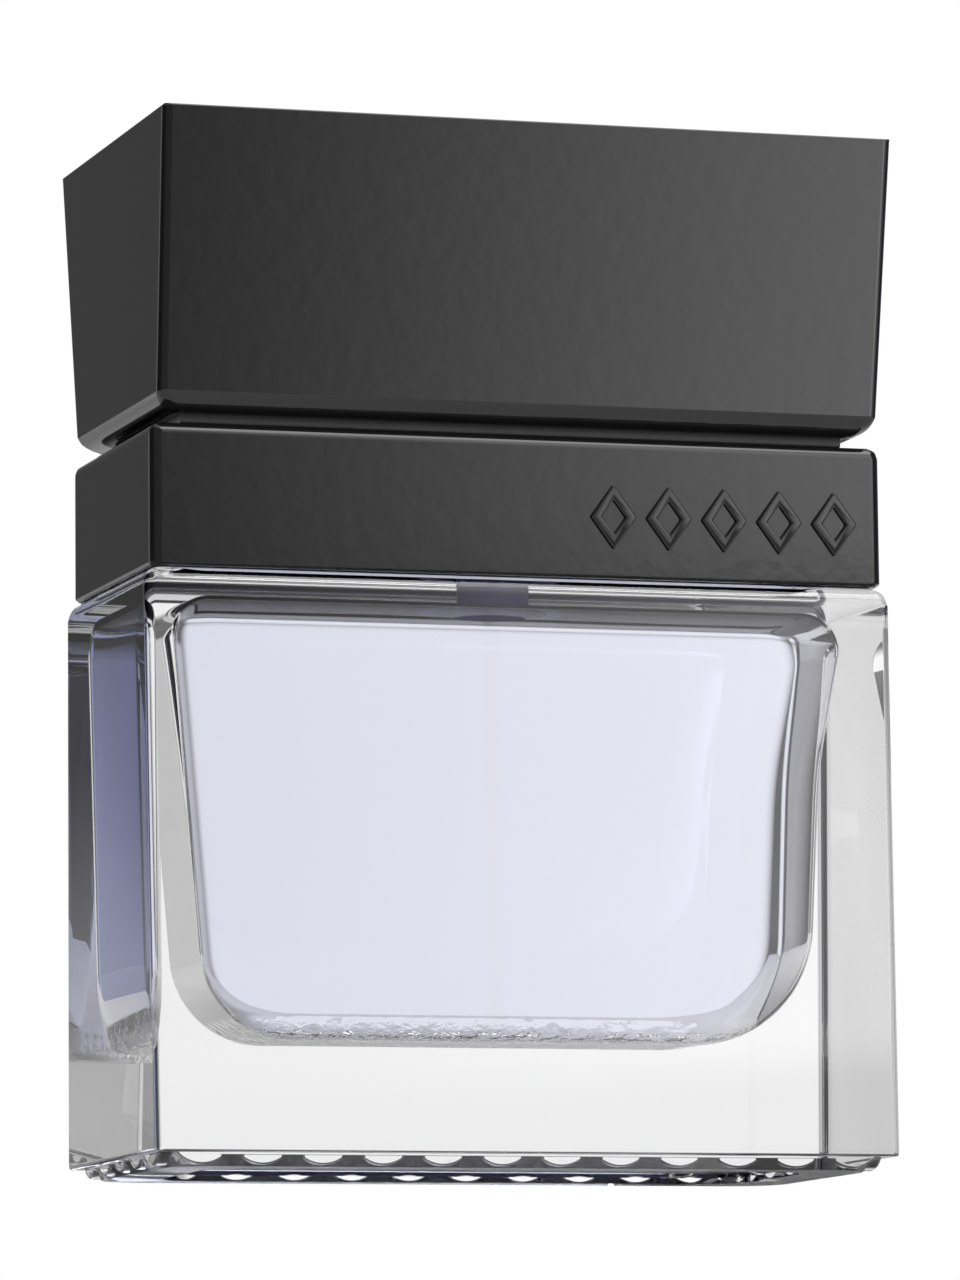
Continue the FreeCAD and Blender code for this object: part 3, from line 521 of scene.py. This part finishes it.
def build_spring():
    """The return spring's coil, round wire capped at both ends."""
    bm = bmesh.new()
    turns = SPRING["length"] / SPRING["pitch"]
    steps = round(turns * SPRING_STEPS["turn"])
    corners = SPRING_STEPS["wire"]
    slope = SPRING["pitch"] / (2 * math.pi * SPRING["radius"])
    rings = []
    for step in range(steps + 1):
        share = step / steps
        turn = 2 * math.pi * turns * share
        outward = Vector((math.cos(turn), math.sin(turn), 0))
        along = Vector((-math.sin(turn), math.cos(turn), slope)).normalized()
        across = along.cross(outward)
        centre = outward * SPRING["radius"] + Vector((0, 0, SPRING["bottom"] + SPRING["length"] * share))
        ring = []
        for corner in range(corners):
            angle = 2 * math.pi * corner / corners
            offset = (outward * math.cos(angle) + across * math.sin(angle)) * SPRING["wire"]
            ring.append(bm.verts.new((centre + offset) * MM))
        rings.append(ring)
    bm.faces.new(rings[0])
    bm.faces.new(list(reversed(rings[-1])))
    for lower, upper in zip(rings, rings[1:]):
        for corner in range(corners):
            bm.faces.new((lower[corner - 1], lower[corner], upper[corner], upper[corner - 1]))
    spring = from_bmesh("coil", bm)
    spring.data.materials.append(turned_metal("spring_steel", **STEEL))
    for face in spring.data.polygons:
        face.use_smooth = True
    return spring


# ---------------------------------------------------------------- materials

def new_material(name):
    """A node material with its Principled shader, ready to be set."""
    material = bpy.data.materials.new(name)
    material.use_nodes = True
    return material, material.node_tree, material.node_tree.nodes["Principled BSDF"]


def set_inputs(shader, **values):
    """Set shader sockets by their names, written with underscores."""
    for name, value in values.items():
        shader.inputs[name.replace("_", " ")].default_value = value


def add_node(tree, kind, inputs=None, **settings):
    """A node with settings, and sockets given as numbers or as links."""
    node = tree.nodes.new(kind)
    for name, value in settings.items():
        setattr(node, name, value)
    for name, value in (inputs or {}).items():
        if isinstance(value, bpy.types.NodeSocket):
            tree.links.new(value, node.inputs[name])
        else:
            node.inputs[name].default_value = value
    return node


def ramp(tree, factor, low, high):
    """A factor stretched from 0..1 to low..high."""
    node = add_node(tree, "ShaderNodeMapRange", {"Value": factor, "To Min": low, "To Max": high})
    return node.outputs["Result"]


def noise(tree, scale, detail=3.0, roughness=0.5):
    """Noise in object space, scale in waves per metre."""
    place = add_node(tree, "ShaderNodeTexCoord")
    node = add_node(tree, "ShaderNodeTexNoise", {
        "Vector": place.outputs["Object"], "Scale": scale, "Detail": detail, "Roughness": roughness,
    })
    return node.outputs["Fac"]


def bump(tree, shader, height, strength, distance):
    """Small surface relief from a height in 0..1."""
    node = add_node(tree, "ShaderNodeBump", {"Height": height, "Strength": strength, "Distance": distance})
    tree.links.new(node.outputs["Normal"], shader.inputs["Normal"])


def clear_glass():
    """Heavy clear glass, a little wavy, and slightly grey where it is thick."""
    material, tree, shader = new_material("clear_glass")
    set_inputs(shader, Base_Color=(1, 1, 1, 1), Roughness=0.0, IOR=GLASS_IOR, Transmission_Weight=1.0)
    bump(tree, shader, noise(tree, 22.0, detail=1.0), strength=1.0, distance=0.00006)
    volume = add_node(tree, "ShaderNodeVolumeAbsorption", {"Color": (0.6, 0.61, 0.61, 1), "Density": 10.0})
    output = tree.nodes["Material Output"]
    tree.links.new(volume.outputs["Volume"], output.inputs["Volume"])
    return material


def wetted_glass():
    """The cavity wall: the step of index from the liquid to the glass, rippled near its floor."""
    material, tree, shader = new_material("wetted_glass")
    set_inputs(shader, Base_Color=(1, 1, 1, 1), Roughness=0.0, IOR=WETTED_IOR, Transmission_Weight=1.0)
    place = add_node(tree, "ShaderNodeTexCoord")
    axes = add_node(tree, "ShaderNodeSeparateXYZ", {"Vector": place.outputs["Object"]})
    low = add_node(tree, "ShaderNodeMapRange", {
        "Value": axes.outputs["Z"], "From Min": RIPPLE["full"] * MM, "From Max": RIPPLE["gone"] * MM,
        "To Min": RIPPLE["depth"], "To Max": 0.0,
    }, interpolation_type="SMOOTHSTEP")
    fine = noise(tree, RIPPLE["scale"], detail=3.0, roughness=0.6)
    slow = noise(tree, SWELL["scale"], detail=1.0)
    ripple = add_node(tree, "ShaderNodeMath", {0: fine, 1: low.outputs["Result"]}, operation="MULTIPLY")
    swell = add_node(tree, "ShaderNodeMath", {0: slow, 1: SWELL["depth"]}, operation="MULTIPLY")
    relief = add_node(tree, "ShaderNodeMath", {0: ripple.outputs[0], 1: swell.outputs[0]}, operation="ADD")
    bump(tree, shader, relief.outputs[0], strength=1.0, distance=0.001)
    return material


def bonded_glass():
    """The shoulder and neck as an opaque dark violet: painted shade with a painted violet sheen, for the
    black adhesive seen through glass and liquid.
    """
    material, tree, shader = new_material("bonded_glass")
    set_inputs(shader, Roughness=0.6)
    # Painted shade: a dark violet colour in place of the view into the glass, varied slightly at random.
    tint = add_node(tree, "ShaderNodeMixRGB", {
        "Fac": noise(tree, 300.0), "Color1": (0.10, 0.085, 0.24, 1), "Color2": (0.12, 0.105, 0.28, 1),
    })
    tree.links.new(tint.outputs["Color"], shader.inputs["Base Color"])
    return material


def lavender():
    """The liquid: its own walls bend nothing, since the wetted glass already does, and depth tints it."""
    material, tree, shader = new_material("lavender_liquid")
    set_inputs(shader, Roughness=0.0, IOR=1.0, Transmission_Weight=1.0)
    tree.links.new(ramp(tree, noise(tree, 60.0), 0.99, 1.0), shader.inputs["Base Color"])
    volume = add_node(tree, "ShaderNodeVolumeAbsorption", {"Color": (0.3, 0.33, 0.88, 1), "Density": 9.0})
    output = tree.nodes["Material Output"]
    tree.links.new(volume.outputs["Volume"], output.inputs["Volume"])
    return material


def black_gloss():
    """High-gloss black moulding with a trace of moulding waviness."""
    name = "gloss_black_moulding"
    if name in bpy.data.materials:
        return bpy.data.materials[name]
    material, tree, shader = new_material(name)
    set_inputs(shader, Base_Color=(0.010, 0.010, 0.0105, 1), IOR=1.48)
    gloss = ramp(tree, noise(tree, 900.0, detail=5.0, roughness=0.6), 0.04, 0.08)
    tree.links.new(gloss, shader.inputs["Roughness"])
    bump(tree, shader, noise(tree, 420.0, detail=2.0), strength=0.03, distance=0.0002)
    return material


def plain_plastic(name, colour, roughness, grain=1200.0, clarity=0.0):
    """Moulded plastic with a fine grain and slightly uneven colour."""
    material, tree, shader = new_material(name)
    set_inputs(shader, Transmission_Weight=clarity, IOR=1.5)
    tint = add_node(tree, "ShaderNodeMixRGB", {
        "Fac": noise(tree, 160.0), "Color1": (*[c * 0.9 for c in colour], 1), "Color2": (*colour, 1),
    })
    tree.links.new(tint.outputs["Color"], shader.inputs["Base Color"])
    rough = ramp(tree, noise(tree, grain), roughness * 0.8, roughness * 1.2)
    tree.links.new(rough, shader.inputs["Roughness"])
    bump(tree, shader, noise(tree, grain, detail=4.0), strength=0.15, distance=0.0001)
    return material


def drowned_tube():
    """Clear tube full of liquid and all but matched to it, so that it hardly shows."""
    material, tree, shader = new_material("drowned_tube")
    set_inputs(shader, Roughness=0.0, IOR=1.001, Transmission_Weight=1.0)
    shade = ramp(tree, noise(tree, 90.0), 0.985, 1.0)
    tree.links.new(shade, shader.inputs["Base Color"])
    return material


def housing_plastic():
    """Milky plastic of the pump housing, made fully transparent below the fill level."""
    material = plain_plastic("housing_plastic", **NATURAL)
    tree = material.node_tree
    place = add_node(tree, "ShaderNodeTexCoord")
    axes = add_node(tree, "ShaderNodeSeparateXYZ", {"Vector": place.outputs["Object"]})
    wet = add_node(tree, "ShaderNodeMapRange", {
        "Value": axes.outputs["Z"], "From Min": FILL_LEVEL * MM, "From Max": (FILL_LEVEL + 0.4) * MM,
        "To Min": 0.0, "To Max": 1.0,
    })
    tree.links.new(wet.outputs["Result"], tree.nodes["Principled BSDF"].inputs["Alpha"])
    return material


def turned_metal(name, colour, roughness):
    """Bright metal with fine turning marks round the Z axis."""
    material, tree, shader = new_material(name)
    set_inputs(shader, Metallic=1.0)
    place = add_node(tree, "ShaderNodeTexCoord")
    stretched = add_node(tree, "ShaderNodeMapping", {
        "Vector": place.outputs["Object"], "Scale": (40.0, 40.0, 4000.0),
    })
    marks = add_node(tree, "ShaderNodeTexNoise", {
        "Vector": stretched.outputs["Vector"], "Scale": 1.0, "Detail": 4.0,
    })
    tint = add_node(tree, "ShaderNodeMixRGB", {
        "Fac": marks.outputs["Fac"], "Color1": (*[c * 0.85 for c in colour], 1), "Color2": (*colour, 1),
    })
    tree.links.new(tint.outputs["Color"], shader.inputs["Base Color"])
    rough = ramp(tree, marks.outputs["Fac"], roughness * 0.7, roughness * 1.3)
    tree.links.new(rough, shader.inputs["Roughness"])
    bump(tree, shader, marks.outputs["Fac"], strength=0.1, distance=0.00005)
    return material


# ---------------------------------------------------------------- object

def place_pieces():
    """Make every rebuilt piece, put it on its body and let it stand for its CAD node."""
    for build, name, body, node, slot in (
        (build_glass, "glass", "bottle", "glass_bottle", "clear_glass"),
        (build_liquid, "liquid", "bottle", "aftershave_liquid", "lavender_liquid"),
        (build_collar, "collar_band", "bottle", "shoulder_collar", "black_gloss"),
        (build_marks, "collar_marks", "bottle", "collar_ornament", "black_relief"),
        (build_cap, "cap_outer", "cap", "cap_shell", "black_gloss"),
        (build_spring, "spring_coil", "bottle", "return_spring", "steel"),
    ):
        piece = build()
        piece.name = name
        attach(piece, body)
        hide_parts(node)
        if build is build_spring:
            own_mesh(piece)


def dress_cad_nodes():
    """Give every CAD node that stays visible its own material."""
    finishes = {
        "natural": plain_plastic("natural_plastic", **NATURAL),
        "white": plain_plastic("white_plastic", (0.82, 0.82, 0.80), 0.3),
        "black": plain_plastic("satin_black", (0.02, 0.02, 0.021), 0.35, grain=1500.0),
        "pad": plain_plastic("foam_black", (0.008, 0.008, 0.009), 0.9, grain=2500.0),
        "rubber": plain_plastic("grey_rubber", (0.25, 0.25, 0.26), 0.7),
        "tube": drowned_tube(),
        "housing": housing_plastic(),
        "steel": turned_metal("steel", **STEEL),
        "silver": turned_metal("bright_aluminium", (0.86, 0.86, 0.87), 0.14),
    }
    wearing = {
        "shoulder_pad": "pad", "neck_gasket": "rubber", "pump_housing": "housing", "dip_tube": "tube",
        "inlet_ball": "steel", "piston": "white", "pump_stem": "natural",
        "stem_seal": "rubber", "turret_bush": "white", "crimp_ferrule": "silver", "ferrule_cover": "silver",
        "actuator_button": "black", "nozzle_insert": "black", "actuator_overshell": "silver",
        "cap_foot_plate": "black", "cap_grip_sleeve": "natural",
    }
    for node, finish in wearing.items():
        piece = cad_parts[node]
        piece.data.materials.clear()
        piece.data.materials.append(finishes[finish])


# ---------------------------------------------------------------- studio

def build_floor():
    """A plain pale table top, see-through from below, where the reference view looks from."""
    bm = bmesh.new()
    bmesh.ops.create_grid(bm, x_segments=8, y_segments=8, size=FLOOR_HALF)
    floor = from_bmesh("studio_floor", bm)
    material, tree, shader = new_material("pale_floor")
    set_inputs(shader, Base_Color=(0.8, 0.8, 0.8, 1), Roughness=0.5)
    side = add_node(tree, "ShaderNodeNewGeometry")
    clear = add_node(tree, "ShaderNodeBsdfTransparent")
    mix = add_node(tree, "ShaderNodeMixShader", {"Fac": side.outputs["Backfacing"]})
    tree.links.new(shader.outputs["BSDF"], mix.inputs[1])
    tree.links.new(clear.outputs["BSDF"], mix.inputs[2])
    tree.links.new(mix.outputs["Shader"], tree.nodes["Material Output"].inputs["Surface"])
    floor.data.materials.append(material)


def band(tree, value, rise, fall):
    """1 where value lies between two soft edges, each given as (start, end)."""
    up = add_node(tree, "ShaderNodeMapRange", {"Value": value, "From Min": rise[0], "From Max": rise[1]},
                  interpolation_type="SMOOTHSTEP")
    down = add_node(tree, "ShaderNodeMapRange", {
        "Value": value, "From Min": fall[0], "From Max": fall[1], "To Min": 1.0, "To Max": 0.0,
    }, interpolation_type="SMOOTHSTEP")
    both = add_node(tree, "ShaderNodeMath", {0: up.outputs["Result"], 1: down.outputs["Result"]},
                    operation="MULTIPLY")
    return both.outputs["Value"]


def build_surroundings():
    """The panels of light as the world. The camera itself sees plain white in their place."""
    world = bpy.data.worlds.new("studio")
    bpy.context.scene.world = world
    world.use_nodes = True
    tree = world.node_tree
    tree.nodes.clear()
    place = add_node(tree, "ShaderNodeTexCoord")
    axes = add_node(tree, "ShaderNodeSeparateXYZ", {"Vector": place.outputs["Generated"]})

    def maths(operation, first, second=0.0):
        return add_node(tree, "ShaderNodeMath", {0: first, 1: second}, operation=operation).outputs["Value"]

    azimuth = maths("DEGREES", maths("ARCTAN2", axes.outputs["X"], axes.outputs["Y"]))
    height = maths("DEGREES", maths("ARCSINE", axes.outputs["Z"]))

    def panel(strength, across, upward):
        """The light of one panel, which goes all the way round where it has no edges across."""
        share = band(tree, azimuth, *across) if across else 1.0
        return maths("MULTIPLY", strength, maths("MULTIPLY", share, band(tree, height, *upward)))

    light = AMBIENT
    for settings in PANELS.values():
        light = maths("ADD", light, panel(*settings))
    side = panel(*SIDE_PANEL)
    path = add_node(tree, "ShaderNodeLightPath")
    # 0, 2 and 3 are the factor and the two numbers of a Mix node
    seen = add_node(tree, "ShaderNodeMix", {0: path.outputs["Is Camera Ray"], 2: light, 3: 1.0})
    unseen = add_node(tree, "ShaderNodeMix", {0: path.outputs["Is Camera Ray"], 2: side, 3: 0.0})
    backdrop = add_node(tree, "ShaderNodeBackground", {"Color": (1, 1, 1, 1), "Strength": seen.outputs[0]})
    violet = add_node(tree, "ShaderNodeBackground", {"Color": SIDE_TINT, "Strength": unseen.outputs[0]})
    both = add_node(tree, "ShaderNodeAddShader", {
        0: backdrop.outputs["Background"], 1: violet.outputs["Background"],
    })
    output = add_node(tree, "ShaderNodeOutputWorld")
    tree.links.new(both.outputs["Shader"], output.inputs["Surface"])


def add_softbox(name, place, target, size, power):
    """A square area light aimed at a point."""
    light = bpy.data.lights.new(name, "AREA")
    light.size = size
    light.energy = power
    lamp = bpy.data.objects.new(name, light)
    lamp.location = place
    lamp.rotation_euler = (Vector(target) - Vector(place)).to_track_quat("-Z", "Y").to_euler()
    bpy.context.scene.collection.objects.link(lamp)


def build_camera():
    """The long lens at the place and angle of the reference view."""
    yaw = math.radians(CAMERA_YAW)
    pitch = math.radians(CAMERA_PITCH)
    roll = math.radians(CAMERA_ROLL)
    forward = Vector((math.sin(yaw) * math.cos(pitch), math.cos(yaw) * math.cos(pitch), math.sin(pitch)))
    right = Vector((math.cos(yaw), -math.sin(yaw), 0))
    down = forward.cross(right)
    image_right = right * math.cos(roll) + down * math.sin(roll)
    image_down = down * math.cos(roll) - right * math.sin(roll)
    data = bpy.data.cameras.new("camera")
    data.sensor_width = SENSOR
    data.lens = CAMERA_LENS
    camera = bpy.data.objects.new("camera", data)
    turn = Matrix((image_right, -image_down, -forward)).transposed().to_4x4()
    camera.matrix_world = Matrix.Translation(CAMERA_PLACE) @ turn
    bpy.context.scene.collection.objects.link(camera)
    bpy.context.scene.camera = camera


def set_up_light_paths():
    """Enough bounces for a thick glass block, and plain colours."""
    scene = bpy.context.scene
    scene.view_settings.view_transform = "Standard"
    scene.cycles.max_bounces = 32
    scene.cycles.transmission_bounces = 32
    scene.cycles.transparent_max_bounces = 16


place_pieces()
dress_cad_nodes()
build_floor()
build_surroundings()
add_softbox("top_light", place=(0.3, -0.5, 1.4), target=(0, 0, 0), size=1.0, power=14.0)
build_camera()
set_up_light_paths()
